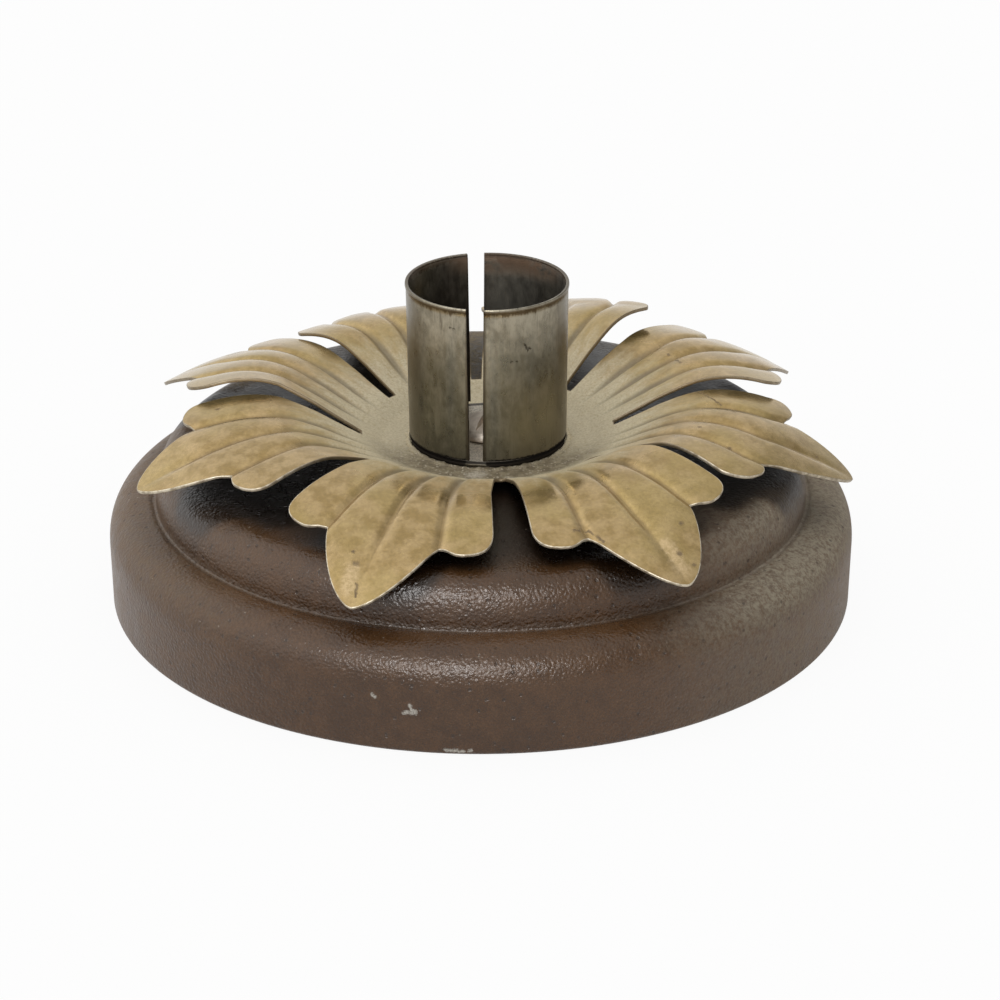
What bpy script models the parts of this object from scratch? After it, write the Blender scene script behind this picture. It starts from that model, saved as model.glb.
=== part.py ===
"""Taper candlestick: a turned wooden foot that carries a stamped leaf drip pan and a sprung candle cup.

Metres, +Z up. The origin is the centre of the underside, and the front of the object faces -Y.
"""
import math
from collections import namedtuple

import bmesh
import bpy

# Turned foot
FOOT_RADIUS = 0.0529
FOOT_EDGE_ROUND = 0.0006
BELLY_RADIUS = 0.0531
BELLY_HEIGHT = 0.0092
GROOVE_RADIUS = 0.0467
GROOVE_HEIGHT = 0.0152
GROOVE_WIDTH = 0.0007
GROOVE_DEPTH = 0.0005
PLATEAU_RADIUS = 0.0417
BASE_HEIGHT = 0.0221
SHOULDER_FULLNESS = 2.4
BASE_STEPS = 72
SHOULDER_POINTS = 8

# The screw hole was bored a little to the right of the foot's centre, so pan and cup sit off centre too
BORE_OFFSET_X = 0.0010

# Fits
SEAT_GAP = 0.0003
SHANK_CLEARANCE = 0.0003

# Stamped leaf pan
PAN_SHEET = 0.0005
DISH_RADIUS = 0.0147
SLOT_ROOT_RADIUS = 0.0180
LEAF_COUNT = 8
LEAF_TURN_DEG = 5.6
LEAF_TIP_RADIUS = 0.0520
LEAF_CREST_RADIUS = 0.0294
LEAF_RISE = 0.0065
LEAF_RISE_SLOPE = 0.42
LEAF_KNEE_POWER = 7.0
SWAY_START_RADIUS = 0.0398
TIP_POINT_POWER = 1.56
TIP_DROOP_POWER = 1.92
NOTCH_RADIUS = 0.0418
NOTCH_ANGLE_DEG = 11.0
CREASE_ROOT_ANGLE_DEG = 9.0
LOBE_CORNER_RADIUS = 0.038
LOBE_BULGE = 0.0015
LOBE_BULGE_SHARE = 0.45
LOBE_FULLNESS = 3.6
SLOT_WIDTH = 0.0014
SLOT_FLARE = 0.02
FLUTE_HEIGHT = 0.0007
FLUTE_RUN_IN = 0.0096
FLUTE_RUN_OUT = 0.0100
FLUTE_SEGMENTS = 4
LOBE_SEGMENTS = 6
LEAF_ROWS = 10
DISH_RISE_RINGS = 2

# How each leaf stands after years of handling, from the front left one round to the right: swing and
# tip sway in degrees, the share of its length in plan that it keeps when bent up, then crest height,
# tip height and twist at the leaf's edge as shares of LEAF_RISE
LeafSet = namedtuple("LeafSet", "swing sway reach crest tip twist")
LEAF_SETS = (
    LeafSet(-2.7, -0.6, 1.00, 0.74, -0.48, -0.12),
    LeafSet(1.3, 1.5, 1.00, 0.85, -0.28, 0.20),
    LeafSet(0.9, 6.8, 1.00, 1.02, -0.42, -0.06),
    LeafSet(-0.9, 5.1, 1.00, 1.15, -0.15, -0.11),
    LeafSet(-2.6, 7.1, 0.84, 1.17, 0.52, -0.32),
    LeafSet(-1.3, -6.5, 0.90, 1.11, -0.07, -0.05),
    LeafSet(-3.6, -3.7, 1.00, 1.16, -0.03, 0.30),
    LeafSet(-5.4, -0.8, 1.00, 0.99, 0.08, -0.07),
)

# Candle cup, bent up from one sheet
CUP_RADIUS = 0.01115
CUP_HEIGHT = 0.0236
CUP_SHEET = 0.00045
CUP_BEND_RADIUS = 0.0006
CUP_NECK_WIDTH = 0.0050
JAW_LIFT = 0.0009
LEFT_JAW_SPLAY = 0.00035
RIGHT_JAW_SPLAY = 0.00015
SLIT_WIDTH = 0.0019
SLIT_OFFSET_X = -0.00165
LIP_HEIGHT = 0.0007
LIP_SWELL = 0.00012
NECK_SEGMENTS = 4
BEND_SEGMENTS = 3
JAW_SIDE_SEGMENTS = 11
JAW_WALL_ROWS = 4

# Round-head wood screw
SCREW_HEAD_RADIUS = 0.0042
SCREW_HEAD_HEIGHT = 0.0027
SCREW_SHANK_RADIUS = 0.0019
SCREW_LENGTH = 0.0150
SCREW_POINT_LENGTH = 0.0045
SCREW_SLOT_WIDTH = 0.0011
SCREW_SLOT_DEPTH = 0.0013
SCREW_SLOT_TURN_DEG = 70.0
SCREW_STEPS = 32
DOME_POINTS = 7
PILOT_EXTRA_DEPTH = 0.0010

# Stack, from the foot up
DISH_TOP = BASE_HEIGHT + SEAT_GAP + PAN_SHEET
CUP_BOTTOM = DISH_TOP + SEAT_GAP
SCREW_SEAT = CUP_BOTTOM + CUP_SHEET + SEAT_GAP
HOLE_RADIUS = SCREW_SHANK_RADIUS + SHANK_CLEARANCE


def clear_scene():
    for old in list(bpy.data.objects):
        bpy.data.objects.remove(old, do_unlink=True)


def new_collection(name):
    collection = bpy.data.collections.new(name)
    bpy.context.scene.collection.children.link(collection)
    return collection


def paint(name, colour, roughness, metallic):
    material = bpy.data.materials.new(name)
    material.use_nodes = True
    shader = material.node_tree.nodes["Principled BSDF"]
    shader.inputs["Base Color"].default_value = (*colour, 1.0)
    shader.inputs["Roughness"].default_value = roughness
    shader.inputs["Metallic"].default_value = metallic
    return material


def add_object(name, mesh, collection, material=None, location=(0.0, 0.0, 0.0)):
    obj = bpy.data.objects.new(name, mesh)
    obj.location = location
    collection.objects.link(obj)
    if material:
        mesh.materials.append(material)
    return obj


def shade_round(obj, sharp_deg=40.0):
    obj.data.shade_smooth()
    obj.data.set_sharp_from_angle(angle=math.radians(sharp_deg))


def make_cutter(obj):
    obj.hide_render = True
    obj.display_type = "WIRE"


def cut(obj, cutter):
    modifier = obj.modifiers.new("Cut " + cutter.name, "BOOLEAN")
    modifier.operation = "DIFFERENCE"
    modifier.solver = "EXACT"
    modifier.object = cutter


def turned(name, profile, steps, collection, material=None, location=(0.0, 0.0, 0.0)):
    """A solid of revolution about Z from (radius, height) points that run from the top down."""
    mesh = bpy.data.meshes.new(name)
    edges = [(i, i + 1) for i in range(len(profile) - 1)]
    mesh.from_pydata([(radius, 0.0, height) for radius, height in profile], edges, [])
    obj = add_object(name, mesh, collection, material, location)
    screw = obj.modifiers.new("Turn", "SCREW")
    screw.axis = "Z"
    screw.steps = steps
    screw.render_steps = steps
    screw.use_merge_vertices = True
    screw.merge_threshold = 0.00001
    screw.use_smooth_shade = True
    return obj


def quarter_round(start, end, fullness, count):
    """Points of a full quarter round that leaves start level and arrives at end plumb."""
    points = []
    for i in range(count + 1):
        angle = 0.5 * math.pi * i / count
        across = math.sin(angle) ** (2.0 / fullness)
        down = math.cos(angle) ** (2.0 / fullness)
        radius = start[0] + (end[0] - start[0]) * across
        height = end[1] + (start[1] - end[1]) * down
        points.append((radius, height))
    return points


def base_profile():
    groove_inner = GROOVE_RADIUS - 0.5 * GROOVE_WIDTH
    groove_outer = GROOVE_RADIUS + 0.5 * GROOVE_WIDTH
    plateau = (PLATEAU_RADIUS, BASE_HEIGHT)
    step_foot = (groove_inner, GROOVE_HEIGHT)
    belly = (BELLY_RADIUS, BELLY_HEIGHT)
    points = [(0.0, BASE_HEIGHT)]
    points += quarter_round(plateau, step_foot, SHOULDER_FULLNESS, SHOULDER_POINTS)
    points.append((GROOVE_RADIUS, GROOVE_HEIGHT - GROOVE_DEPTH))
    points += quarter_round((groove_outer, GROOVE_HEIGHT), belly, SHOULDER_FULLNESS, SHOULDER_POINTS)
    points.append((FOOT_RADIUS, FOOT_EDGE_ROUND))
    points.append((FOOT_RADIUS - 0.3 * FOOT_EDGE_ROUND, 0.3 * FOOT_EDGE_ROUND))
    points.append((FOOT_RADIUS - FOOT_EDGE_ROUND, 0.0))
    points.append((0.0, 0.0))
    return points


def shank_profile(radius_gain, length_gain):
    """Shank from the head's seat to the point, in heights below the seat."""
    radius = SCREW_SHANK_RADIUS + radius_gain
    length = SCREW_LENGTH + length_gain
    return [(radius, 0.0), (radius, SCREW_POINT_LENGTH - length), (0.0, -length)]


def make_base(collection, cutters, material):
    base = turned("base", base_profile(), BASE_STEPS, collection, material)
    hole = shank_profile(SHANK_CLEARANCE, PILOT_EXTRA_DEPTH)
    pilot = turned("pilot_hole", [(0.0, 0.0)] + hole, SCREW_STEPS, cutters,
                   location=(BORE_OFFSET_X, 0.0, SCREW_SEAT))
    make_cutter(pilot)
    cut(base, pilot)
    return base


def ramp(value, start, end):
    return min(1.0, max(0.0, (value - start) / (end - start)))


def slot_edge(radius):
    """Angle from a leaf's middle to the slot beside it, at a radius."""
    half_slot = 0.5 * SLOT_WIDTH + SLOT_FLARE * (radius - SLOT_ROOT_RADIUS)
    return math.pi / LEAF_COUNT - half_slot / radius


def crease_angle(radius):
    """Angle from a leaf's middle to its side crease, which spreads from the root to the notch."""
    spread = ramp(radius, SLOT_ROOT_RADIUS, NOTCH_RADIUS)
    return math.radians(CREASE_ROOT_ANGLE_DEG + (NOTCH_ANGLE_DEG - CREASE_ROOT_ANGLE_DEG) * spread)


def leaf_stations():
    """Stations across a leaf: 0 on the middle vein, 1 on the side creases, 2 on the slots."""
    half = [i / FLUTE_SEGMENTS for i in range(FLUTE_SEGMENTS + 1)]
    half += [1.5 - 0.5 * math.cos(math.pi * i / LOBE_SEGMENTS) for i in range(1, LOBE_SEGMENTS + 1)]
    return [-station for station in reversed(half[1:])] + half


def leaf_reach(station):
    """Radius of the cut edge: a pointed middle lobe between two broad ones with rounded corners."""
    side = abs(station)
    if side <= 1.0:
        return LEAF_TIP_RADIUS - (LEAF_TIP_RADIUS - NOTCH_RADIUS) * side ** TIP_POINT_POWER
    share = side - 1.0
    bulge = LOBE_BULGE * math.sin(0.5 * math.pi * min(1.0, share / LOBE_BULGE_SHARE))
    corner = 1.0 - max(0.0, 1.0 - share ** LOBE_FULLNESS) ** (1.0 / LOBE_FULLNESS)
    return NOTCH_RADIUS + bulge - (NOTCH_RADIUS + LOBE_BULGE - LOBE_CORNER_RADIUS) * corner


def leaf_angle(station, radius):
    crease = crease_angle(radius)
    side = abs(station)
    if side <= 1.0:
        return crease * station
    return math.copysign(crease + (side - 1.0) * (slot_edge(radius) - crease), station)


def wall_height(radius):
    """Height over the dish's floor of the straight wall that the leaves rise along."""
    return LEAF_RISE_SLOPE * max(0.0, radius - DISH_RADIUS)


def leaf_height(station, radius, angle, leaf):
    """Height of the sheet over the dish: the wall's rise, a knee at the crest, a droop, flutes and a twist."""
    crest = LEAF_RISE * leaf.crest
    climb = wall_height(radius) / crest
    knee = crest * climb / (1.0 + climb ** LEAF_KNEE_POWER) ** (1.0 / LEAF_KNEE_POWER)
    droop = ramp(radius, LEAF_CREST_RADIUS, LEAF_TIP_RADIUS) ** TIP_DROOP_POWER
    arch = knee + (LEAF_RISE * leaf.tip - crest) * droop
    fade_in = ramp(radius, DISH_RADIUS, DISH_RADIUS + FLUTE_RUN_IN)
    fade_out = ramp(radius, LEAF_TIP_RADIUS, LEAF_TIP_RADIUS - FLUTE_RUN_OUT)
    ridge = abs(math.sin(math.pi * min(abs(station), 1.5)))
    along = ramp(radius, SLOT_ROOT_RADIUS, LEAF_CREST_RADIUS)
    twist = LEAF_RISE * leaf.twist * along * angle * LEAF_COUNT / math.pi
    return arch + twist + FLUTE_HEIGHT * fade_in * fade_out * ridge


def leaf_point(station, share, leaf, middle):
    radius = SLOT_ROOT_RADIUS + share * (leaf_reach(station) - SLOT_ROOT_RADIUS)
    angle = leaf_angle(station, radius)
    swing = math.radians(leaf.swing) * ramp(radius, SLOT_ROOT_RADIUS, LEAF_CREST_RADIUS)
    sway = math.radians(leaf.sway) * ramp(radius, SWAY_START_RADIUS, LEAF_TIP_RADIUS)
    turn = middle + angle + swing + sway
    height = leaf_height(station, radius, angle, leaf)
    drawn_in = SLOT_ROOT_RADIUS + leaf.reach * (radius - SLOT_ROOT_RADIUS)
    return (drawn_in * math.sin(turn), -drawn_in * math.cos(turn), height)


def dish_radii():
    """Radii of the dish's rings inside the slots: down its rising wall, then across its floor to the hole."""
    step = (SLOT_ROOT_RADIUS - DISH_RADIUS) / DISH_RISE_RINGS
    return [SLOT_ROOT_RADIUS - step * i for i in range(1, DISH_RISE_RINGS + 1)] + [HOLE_RADIUS]


def make_leaf_pan(collection, material):
    """The pan's upper face, from the screw hole out to the leaf tips, thickened downwards."""
    bm = bmesh.new()
    stations = leaf_stations()
    root_ring = []
    for index in range(LEAF_COUNT):
        middle = math.radians(LEAF_TURN_DEG) + (index - 0.5) * 2.0 * math.pi / LEAF_COUNT
        rows = []
        for row in range(LEAF_ROWS + 1):
            share = row / LEAF_ROWS
            rows.append([bm.verts.new(leaf_point(s, share, LEAF_SETS[index], middle)) for s in stations])
        for near, far in zip(rows, rows[1:]):
            for i in range(len(stations) - 1):
                bm.faces.new((near[i], far[i], far[i + 1], near[i + 1]))
        root_ring += rows[0]

    ring = root_ring
    for radius in dish_radii():
        scale = radius / SLOT_ROOT_RADIUS
        lift = wall_height(radius) / wall_height(SLOT_ROOT_RADIUS)
        inner = [bm.verts.new((vert.co.x * scale, vert.co.y * scale, vert.co.z * lift)) for vert in root_ring]
        for i in range(len(ring)):
            j = (i + 1) % len(ring)
            bm.faces.new((inner[i], ring[i], ring[j], inner[j]))
        ring = inner

    bmesh.ops.recalc_face_normals(bm, faces=bm.faces)
    if sum(face.normal.z for face in bm.faces) < 0.0:
        bmesh.ops.reverse_faces(bm, faces=bm.faces)
    mesh = bpy.data.meshes.new("leaf_pan")
    bm.to_mesh(mesh)
    bm.free()
    pan = add_object("leaf_pan", mesh, collection, material, (BORE_OFFSET_X, 0.0, DISH_TOP))
    shell = pan.modifiers.new("Sheet", "SOLIDIFY")
    shell.thickness = PAN_SHEET
    shell.offset = -1.0
    shade_round(pan)
    return pan


def jaw_angles(slit_edge):
    """Angles across a jaw, from its middle: the neck first, then out to where the slit's edge lies."""
    neck = math.asin(0.5 * CUP_NECK_WIDTH / CUP_RADIUS)
    end = math.acos(slit_edge / CUP_RADIUS)
    side = [neck + (end - neck) * i / JAW_SIDE_SEGMENTS for i in range(1, JAW_SIDE_SEGMENTS + 1)]
    middle = [neck * (2.0 * i / NECK_SEGMENTS - 1.0) for i in range(NECK_SEGMENTS + 1)]
    return [-angle for angle in reversed(side)] + middle + side


def jaw_rows():
    """Wall rows as (height, swell) from the jaw's free lower edge to the rounded lip."""
    wall_top = CUP_HEIGHT - LIP_HEIGHT
    rows = [(JAW_LIFT + (wall_top - JAW_LIFT) * i / JAW_WALL_ROWS, 0.0) for i in range(JAW_WALL_ROWS + 1)]
    rows.append((CUP_HEIGHT - 0.6 * LIP_HEIGHT, LIP_SWELL))
    rows.append((CUP_HEIGHT - 0.2 * LIP_HEIGHT, LIP_SWELL))
    rows.append((CUP_HEIGHT, 0.3 * LIP_SWELL))
    return rows


def make_candle_cup(collection, material):
    """The cup's outer face: floor disc, two necks bent upwards, and a sprung jaw on each neck."""
    bm = bmesh.new()
    right_edge = SLIT_OFFSET_X + 0.5 * SLIT_WIDTH
    left_edge = 0.5 * SLIT_WIDTH - SLIT_OFFSET_X
    jaws = ((0.0, right_edge, RIGHT_JAW_SPLAY), (math.pi, left_edge, -LEFT_JAW_SPLAY))
    neck_columns = range(JAW_SIDE_SEGMENTS, JAW_SIDE_SEGMENTS + NECK_SEGMENTS)
    floor_radius = CUP_RADIUS - CUP_BEND_RADIUS

    def vert(radius, turn, height, splay):
        lean = splay * ramp(height, JAW_LIFT, CUP_HEIGHT)
        return bm.verts.new((radius * math.cos(turn) + lean, radius * math.sin(turn), height))

    def strip(near, far, columns):
        for i in columns:
            bm.faces.new((near[i], far[i], far[i + 1], near[i + 1]))

    floor_ring = []
    edge_ring = []
    open_columns = []
    for middle, slit_edge, splay in jaws:
        turns = [middle + angle for angle in jaw_angles(slit_edge)]
        floor = [vert(floor_radius, turn, 0.0, splay) for turn in turns]
        edge = [vert(CUP_RADIUS, turn, 0.0, splay) for turn in turns]
        open_columns += [len(floor_ring) + i for i in range(len(turns)) if i not in neck_columns]
        floor_ring += floor
        edge_ring += edge

        bend = floor
        for step in range(1, BEND_SEGMENTS + 1):
            lean = 0.5 * math.pi * step / BEND_SEGMENTS
            radius = floor_radius + CUP_BEND_RADIUS * math.sin(lean)
            height = CUP_BEND_RADIUS * (1.0 - math.cos(lean))
            row = {i: vert(radius, turns[i], height, splay) for i in (*neck_columns, neck_columns[-1] + 1)}
            strip(bend, row, neck_columns)
            bend = row
        wall = []
        for height, swell in jaw_rows():
            wall.append([vert(CUP_RADIUS + swell, turn, height, splay) for turn in turns])
        strip(bend, wall[0], neck_columns)
        for near, far in zip(wall, wall[1:]):
            strip(near, far, range(len(turns) - 1))

    count = len(floor_ring)
    for i in open_columns:
        j = (i + 1) % count
        bm.faces.new((floor_ring[i], edge_ring[i], edge_ring[j], floor_ring[j]))
    hole = []
    for corner in floor_ring:
        scale = HOLE_RADIUS / floor_radius
        hole.append(bm.verts.new((corner.co.x * scale, corner.co.y * scale, 0.0)))
    for i in range(count):
        j = (i + 1) % count
        bm.faces.new((hole[i], floor_ring[i], floor_ring[j], hole[j]))

    loose = [v for v in bm.verts if not v.link_faces]
    bmesh.ops.delete(bm, geom=loose, context="VERTS")
    bmesh.ops.recalc_face_normals(bm, faces=bm.faces)
    floor_faces = [face for face in bm.faces if abs(face.normal.z) > 0.99]
    if sum(face.normal.z for face in floor_faces) > 0.0:
        bmesh.ops.reverse_faces(bm, faces=bm.faces)
    mesh = bpy.data.meshes.new("candle_cup")
    bm.to_mesh(mesh)
    bm.free()
    cup = add_object("candle_cup", mesh, collection, material, (BORE_OFFSET_X, 0.0, CUP_BOTTOM))
    shell = cup.modifiers.new("Sheet", "SOLIDIFY")
    shell.thickness = CUP_SHEET
    shell.offset = -1.0
    shade_round(cup)
    return cup


def make_cup_screw(collection, cutters, material):
    """Round head with one slot, plain shank and point; its seat is at the object's origin."""
    dome = []
    for i in range(DOME_POINTS + 1):
        angle = 0.5 * math.pi * i / DOME_POINTS
        dome.append((SCREW_HEAD_RADIUS * math.sin(angle), SCREW_HEAD_HEIGHT * math.cos(angle)))
    place = (BORE_OFFSET_X, 0.0, SCREW_SEAT)
    screw = turned("cup_screw", dome + shank_profile(0.0, 0.0), SCREW_STEPS, collection, material, place)

    bm = bmesh.new()
    bmesh.ops.create_cube(bm, size=1.0)
    slot_size = (4.0 * SCREW_HEAD_RADIUS, SCREW_SLOT_WIDTH, 2.0 * SCREW_SLOT_DEPTH)
    bmesh.ops.scale(bm, vec=slot_size, verts=bm.verts)
    mesh = bpy.data.meshes.new("driver_slot")
    bm.to_mesh(mesh)
    bm.free()
    head_top = (BORE_OFFSET_X, 0.0, SCREW_SEAT + SCREW_HEAD_HEIGHT)
    slot = add_object("driver_slot", mesh, cutters, location=head_top)
    slot.rotation_euler = (0.0, 0.0, math.radians(SCREW_SLOT_TURN_DEG))
    make_cutter(slot)
    cut(screw, slot)
    return screw


def build():
    clear_scene()
    parts = new_collection("taper_candlestick")
    cutters = new_collection("cutters")
    make_base(parts, cutters, paint("brown_paint", (0.070, 0.045, 0.034), 0.45, 0.0))
    make_leaf_pan(parts, paint("gold_paint", (0.42, 0.30, 0.15), 0.50, 0.35))
    make_candle_cup(parts, paint("antique_steel", (0.17, 0.14, 0.10), 0.45, 0.85))
    make_cup_screw(parts, cutters, paint("dull_steel", (0.30, 0.28, 0.27), 0.50, 0.90))


build()
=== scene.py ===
"""Looks of the taper candlestick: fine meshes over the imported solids, aged finishes, light and camera.

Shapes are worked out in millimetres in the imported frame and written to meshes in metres.
"""
import math
from collections import namedtuple

import bmesh
import bpy
import numpy as np
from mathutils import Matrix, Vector


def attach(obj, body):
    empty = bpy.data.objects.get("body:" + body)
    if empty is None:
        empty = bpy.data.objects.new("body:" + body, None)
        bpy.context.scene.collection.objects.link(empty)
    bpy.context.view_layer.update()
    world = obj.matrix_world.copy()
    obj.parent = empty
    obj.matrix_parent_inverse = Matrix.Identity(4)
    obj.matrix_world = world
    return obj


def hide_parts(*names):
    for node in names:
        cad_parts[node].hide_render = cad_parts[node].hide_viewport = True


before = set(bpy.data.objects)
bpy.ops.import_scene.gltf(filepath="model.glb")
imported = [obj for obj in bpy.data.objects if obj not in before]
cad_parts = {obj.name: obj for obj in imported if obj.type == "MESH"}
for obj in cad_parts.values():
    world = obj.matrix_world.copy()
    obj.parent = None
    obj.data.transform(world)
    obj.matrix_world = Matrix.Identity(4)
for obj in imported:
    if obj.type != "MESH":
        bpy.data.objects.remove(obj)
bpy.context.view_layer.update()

MM = 0.001
BODY = "root"

# Sizes of the solids, in millimetres
FOOT_RADIUS = 52.9
FOOT_EDGE_ROUND = 0.6
BELLY_RADIUS = 53.1
BELLY_HEIGHT = 9.2
GROOVE_RADIUS = 46.7
GROOVE_HEIGHT = 15.2
GROOVE_WIDTH = 0.7
GROOVE_DEPTH = 0.5
GROOVE_DUST = 0.3
PLATEAU_RADIUS = 41.7
BASE_HEIGHT = 22.1
SHOULDER_FULLNESS = 2.4
BORE_X = 1.0
SEAT_GAP = 0.3

PAN_SHEET = 0.5
DISH_RADIUS = 14.7
SLOT_ROOT_RADIUS = 18.0
LEAF_COUNT = 8
LEAF_TURN_DEG = 5.6
LEAF_TIP_RADIUS = 52.0
LEAF_CREST_RADIUS = 29.4
LEAF_RISE = 6.5
LEAF_RISE_SLOPE = 0.42
LEAF_KNEE_POWER = 7.0
SWAY_START_RADIUS = 39.8
TIP_POINT_POWER = 1.56
TIP_DROOP_POWER = 1.92
NOTCH_RADIUS = 41.8
NOTCH_ANGLE_DEG = 11.0
CREASE_ROOT_ANGLE_DEG = 9.0
LOBE_CORNER_RADIUS = 38.0
LOBE_BULGE = 1.5
LOBE_BULGE_SHARE = 0.45
LOBE_FULLNESS = 3.6
SLOT_WIDTH = 1.4
SLOT_FLARE = 0.02
FLUTE_HEIGHT = 0.7
FLUTE_RUN_IN = 9.6
FLUTE_RUN_OUT = 10.0
LeafSet = namedtuple("LeafSet", "swing sway reach crest tip twist")
LEAF_SETS = (
    LeafSet(-2.7, -0.6, 1.00, 0.74, -0.48, -0.12),
    LeafSet(1.3, 1.5, 1.00, 0.85, -0.28, 0.20),
    LeafSet(0.9, 6.8, 1.00, 1.02, -0.42, -0.06),
    LeafSet(-0.9, 5.1, 1.00, 1.15, -0.15, -0.11),
    LeafSet(-2.6, 7.1, 0.84, 1.17, 0.52, -0.32),
    LeafSet(-1.3, -6.5, 0.90, 1.11, -0.07, -0.05),
    LeafSet(-3.6, -3.7, 1.00, 1.16, -0.03, 0.30),
    LeafSet(-5.4, -0.8, 1.00, 0.99, 0.08, -0.07),
)

CUP_RADIUS = 11.15
CUP_HEIGHT = 23.6
CUP_SHEET = 0.45
CUP_BEND_RADIUS = 0.6
CUP_NECK_WIDTH = 5.0
JAW_LIFT = 0.9
LEFT_JAW_SPLAY = 0.35
RIGHT_JAW_SPLAY = 0.15
SLIT_WIDTH = 1.9
SLIT_OFFSET_X = -1.65
LIP_HEIGHT = 0.7
LIP_SWELL = 0.12

SCREW_HEAD_RADIUS = 4.2
SCREW_HEAD_HEIGHT = 2.7
SCREW_SHANK_RADIUS = 1.9
SCREW_LENGTH = 15.0
SCREW_POINT_LENGTH = 4.5
SCREW_SLOT_WIDTH = 1.1
SCREW_SLOT_DEPTH = 1.3
SCREW_SLOT_TURN_DEG = 70.0
PILOT_EXTRA_DEPTH = 1.0

DISH_TOP = BASE_HEIGHT + SEAT_GAP + PAN_SHEET
CUP_BOTTOM = DISH_TOP + SEAT_GAP
CUP_RIM = CUP_BOTTOM + CUP_HEIGHT
SCREW_SEAT = CUP_BOTTOM + CUP_SHEET + SEAT_GAP
HOLE_RADIUS = SCREW_SHANK_RADIUS + SEAT_GAP

# Fine relief that the solids leave out, in millimetres
CREASE_WIDTH = 0.95
CREASE_ROUND = 0.12
CREASE_SOFT = 0.25
CREASE_SHARE = 0.65
DISH_BEND = 1.0
SHEET_WAVE = 0.10
PAN_EDGE_ROUND = 0.1
CUP_EDGE_ROUND = 0.09
SCREW_EDGE_ROUND = 0.08
BASE_WEAR_SHARE = 0.0012

# Fineness of the meshes, in segments
BASE_STEPS = 240
INNER_SHOULDER_STEPS = 22
OUTER_SHOULDER_STEPS = 26
HALF_STATIONS = 16
LEAF_ROWS = 56
DISH_WALL_RINGS = 8
DISH_FLOOR_RINGS = 6
BANK_STEPS = 360
JAW_SIDE_SEGMENTS = 44
NECK_SEGMENTS = 12
BEND_SEGMENTS = 6
JAW_ROWS = 34
SCREW_STEPS = 72
SCREW_DOME_STEPS = 18
BORE_STEPS = 48

# Marks of age in millimetres, with a painted highlight in the leaf wear strokes: lines from start to end,
# spots as place and radius
BASE_CHIPS = (
    ((-9.2, -52.3, 7.2), (-8.5, -52.4, 6.0)),
    ((-9.9, -52.1, 6.0), (-8.5, -52.4, 6.1)),
    ((-14.1, -51.2, 8.2), (-13.8, -51.3, 7.9)),
    ((-4.4, -52.6, 0.8), (-2.2, -52.8, 0.6)),
    ((-1.4, -52.9, 0.8), (-1.1, -52.9, 0.8)),
)
LEAF_SPOTS = (
    ((-16.3, -43.1, 23.5), 0.65),
    ((-16.7, -41.4, 24.4), 0.45),
    ((26.9, -35.9, 26.0), 0.5),
    ((26.5, -40.5, 23.7), 0.6),
    ((28.4, -41.6, 22.6), 0.5),
    ((30.4, -11.9, 29.7), 0.45),
    ((32.1, -16.5, 29.3), 0.6),
    ((34.3, -16.6, 28.4), 0.6),
    ((47.0, -9.1, 23.9), 0.55),
    ((-36.9, -4.6, 29.3), 0.5),
)
# Pale strokes near the two front leaf tips: rubbed wear with a painted highlight in it
LEAF_WEAR_AND_HIGHLIGHT = (
    ((-16.8, -43.9, 23.0), (-17.3, -46.4, 21.4)),
    ((24.9, -39.4, 24.6), (26.9, -42.6, 22.4)),
)
LEAF_CRACKS = (
    ((-16.1, -45.9, 21.8), (-16.3, -47.5, 20.8)),
    ((12.4, -39.0, 26.4), (14.5, -38.4, 26.1)),
    ((14.5, -38.4, 26.1), (16.4, -40.5, 25.4)),
    ((30.7, 2.2, 29.1), (35.6, -5.6, 29.3)),
    ((27.1, 15.1, 29.6), (28.7, 11.0, 29.9)),
)
DISH_LINT = (
    ((-0.6, -13.2, 23.0), 2.2),
    ((4.0, -14.6, 23.2), 1.0),
)
CUP_NICKS = (
    ((-4.2, -10.0, 43.7), (-3.2, -10.3, 43.6)),
    ((6.1, -9.9, 41.4), (6.5, -9.7, 40.2)),
    ((6.4, -9.8, 40.7), (7.0, -9.4, 40.5)),
    ((3.6, -10.7, 39.2), (5.0, -10.3, 38.9)),
)

# Camera and studio, in metres and watts
CAMERA_ELEVATION_DEG = 24.34
CAMERA_TARGET = (0.00271, 0.0, 0.01321)
CAMERA_DISTANCE = 0.5575
CAMERA_LENS_MM = 140.17
FLOOR_RADIUS = 3.0
FLOOR_COLOUR = (0.92, 0.92, 0.91, 1.0)
FLOOR_GLOW = 0.93
SKY_LOW, SKY_HIGH = 0.08, 1.15
SKY_RIGHT, SKY_LEFT = 0.85, 1.12
GLOSS_RIGHT, GLOSS_LEFT, GLOSS_FRONT, GLOSS_BACK = 0.40, 1.55, 1.12, 0.88
LAMP_TARGET = (0.0, 0.0, 0.02)
Lamp = namedtuple("Lamp", "name place size power")
LAMPS = (
    Lamp("window", (-0.14, -1.0, 0.54), (0.9, 0.6), 4.6),
    Lamp("window_core", (-0.18, -1.0, 0.52), (0.34, 0.24), 4.8),
)


def ramp(value, start, end):
    return np.clip((np.asarray(value, float) - start) / (end - start), 0.0, 1.0)


def add_piece(name, verts, faces, materials, replaces):
    """A piece of the object, given in millimetres, that stands for one CAD node."""
    mesh = bpy.data.meshes.new(name)
    mesh.from_pydata((np.asarray(verts) * MM).tolist(), [], faces)
    mesh.validate()
    for material in materials:
        mesh.materials.append(material)
    obj = bpy.data.objects.new(name, mesh)
    bpy.context.scene.collection.objects.link(obj)
    mesh.shade_smooth()
    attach(obj, BODY)
    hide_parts(replaces)
    return obj


def add_attribute(obj, name, values):
    attribute = obj.data.attributes.new(name, "FLOAT", "POINT")
    attribute.data.foreach_set("value", np.asarray(values, np.float32))


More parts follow.
